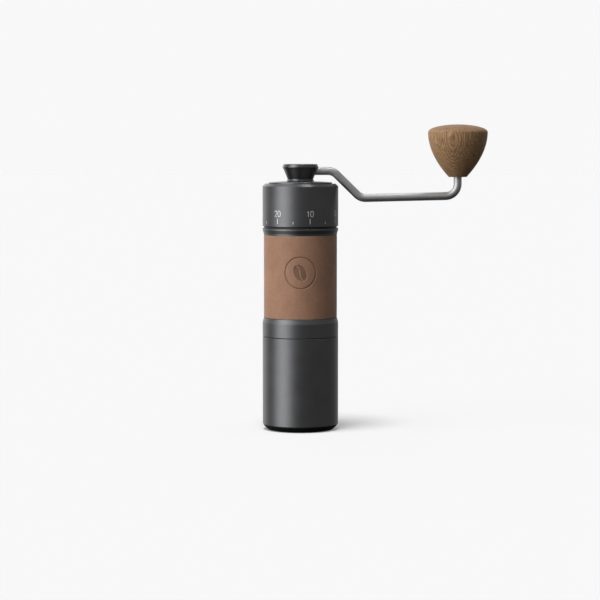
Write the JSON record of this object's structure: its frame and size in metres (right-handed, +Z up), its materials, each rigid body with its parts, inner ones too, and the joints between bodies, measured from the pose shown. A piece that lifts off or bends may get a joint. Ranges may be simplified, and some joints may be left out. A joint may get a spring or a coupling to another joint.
{
  "type": "hand crank coffee grinder",
  "caption": "Tall cylindrical hand coffee grinder with a bent crank rod, wooden knob, outside grind dial, leather grip sleeve and a pull-off magnetic grounds cup.",
  "frame": {"origin": "on the main axis, in the plane of the foot pad's flat underside, where the grinder stands", "axes": "+Z up along the main axis, +X along the crank towards the knob at rest, -Y is the front with the emblem and the dial reading 12.5"},
  "size_m": [0.1661, 0.056, 0.2258],
  "materials": {
    "coated_grey": "dark grey satin anodised, fine brushed",
    "coated_black": "black satin anodised",
    "bare_aluminium": "turned, clear anodised",
    "black_rubber": "matt moulded",
    "grey_silicone": "matt moulded",
    "brown_leather": "smooth full-grain with a light cut edge and a debossed round emblem",
    "walnut": "oiled walnut, vertical grain",
    "brushed_rod": "satin brushed along the rod",
    "steel": "ground",
    "spring_steel": "oiled, dark",
    "burr_steel": "machined and hardened",
    "brass": "turned",
    "nylon": "black, plain",
    "magnet": "nickel plated"
  },
  "bodies": {
    "cup": {"grounds_cup": "coated_grey", "foot_pad": "black_rubber", "striker_ring": "steel"},
    "grinder_body": {"burr_housing": "coated_grey", "cup_magnet_1": "magnet", "cup_magnet_2": "magnet", "cup_magnet_3": "magnet", "cup_o_ring": "black_rubber", "burr_lock_ring": "steel", "ring_burr": "burr_steel", "body_tube": "bare_aluminium", "leather_sleeve": "brown_leather", "lower_spider": "bare_aluminium", "spider_clip": "spring_steel", "lower_bearing_outer": "steel", "index_collar": "coated_grey", "collar_set_screw": "steel", "detent_ball_1": "steel", "detent_ball_2": "steel", "detent_spring_1": "spring_steel", "detent_spring_2": "spring_steel", "dial_glide_ring": "nylon", "dial_keeper_ring": "steel"},
    "dial": {"dial_ring": "coated_grey", "dial_top_ring": "coated_grey"},
    "carrier": {"bearing_carrier": "bare_aluminium", "upper_bearing_outer": "steel"},
    "upper_cage": {"upper_bearing_cage": "brass"},
    "lower_cage": {"lower_bearing_cage": "brass"},
    "lower_race": {"lower_bearing_inner": "steel"},
    "shaft": {"drive_shaft": "steel", "cone_burr": "burr_steel", "burr_washer": "steel", "burr_screw": "steel", "spring_washer": "steel", "preload_spring": "spring_steel", "upper_bearing_inner": "steel", "shaft_clip": "spring_steel"},
    "lid": {"hopper_lid": "coated_grey", "lid_seal": "grey_silicone", "lid_bush": "brass"},
    "crank": {"crank_hub": "coated_black", "hub_cap": "coated_black", "hub_clip": "spring_steel", "arm_pin": "steel", "crank_arm": "brushed_rod", "knob_clip_1": "spring_steel", "knob_clip_2": "spring_steel"},
    "knob": {"crank_knob": "walnut", "knob_sleeve": "brass"}
  },
  "joints": [
    {"name": "cup_pull_off", "type": "slide", "parent": "cup", "child": "grinder_body", "axis": [0, 0, 1], "range_m": [0, 0.08]},
    {"name": "dial_turn", "type": "hinge", "parent": "grinder_body", "child": "dial", "pos_m": [0, 0, 0.166], "axis": [0, 0, 1], "range_deg": [-154.29, 205.71]},
    {"name": "carrier_travel", "type": "slide", "parent": "grinder_body", "child": "carrier", "axis": [0, 0, 1], "range_m": [-0.00086, 0.00064], "deforming": ["preload_spring"]},
    {"name": "lid_lift", "type": "slide", "parent": "grinder_body", "child": "lid", "axis": [0, 0, 1], "range_m": [0, 0.08]},
    {"name": "crank_turn", "type": "hinge", "parent": "lid", "child": "crank", "pos_m": [0, 0, 0.1835], "axis": [0, 0, 1], "continuous": true},
    {"name": "shaft_spin", "type": "hinge", "parent": "carrier", "child": "shaft", "pos_m": [0, 0, 0.1], "axis": [0, 0, 1], "continuous": true},
    {"name": "lower_race_spin", "type": "hinge", "parent": "grinder_body", "child": "lower_race", "pos_m": [0, 0, 0.0985], "axis": [0, 0, 1], "continuous": true},
    {"name": "lower_cage_spin", "type": "hinge", "parent": "grinder_body", "child": "lower_cage", "pos_m": [0, 0, 0.0985], "axis": [0, 0, 1], "continuous": true},
    {"name": "upper_cage_spin", "type": "hinge", "parent": "carrier", "child": "upper_cage", "pos_m": [0, 0, 0.1715], "axis": [0, 0, 1], "continuous": true},
    {"name": "knob_spin", "type": "hinge", "parent": "crank", "child": "knob", "pos_m": [0.1161, 0, 0.2], "axis": [0, 0, 1], "continuous": true}
  ],
  "couplings": [
    {"joint": "dial_turn", "follows": "carrier_travel", "rad_per_m": -4188.8},
    {"joint": "shaft_spin", "follows": "crank_turn", "ratio": 1},
    {"joint": "lower_race_spin", "follows": "crank_turn", "ratio": 1},
    {"joint": "lower_cage_spin", "follows": "crank_turn", "ratio": 0.4215},
    {"joint": "upper_cage_spin", "follows": "crank_turn", "ratio": 0.4215}
  ]
}
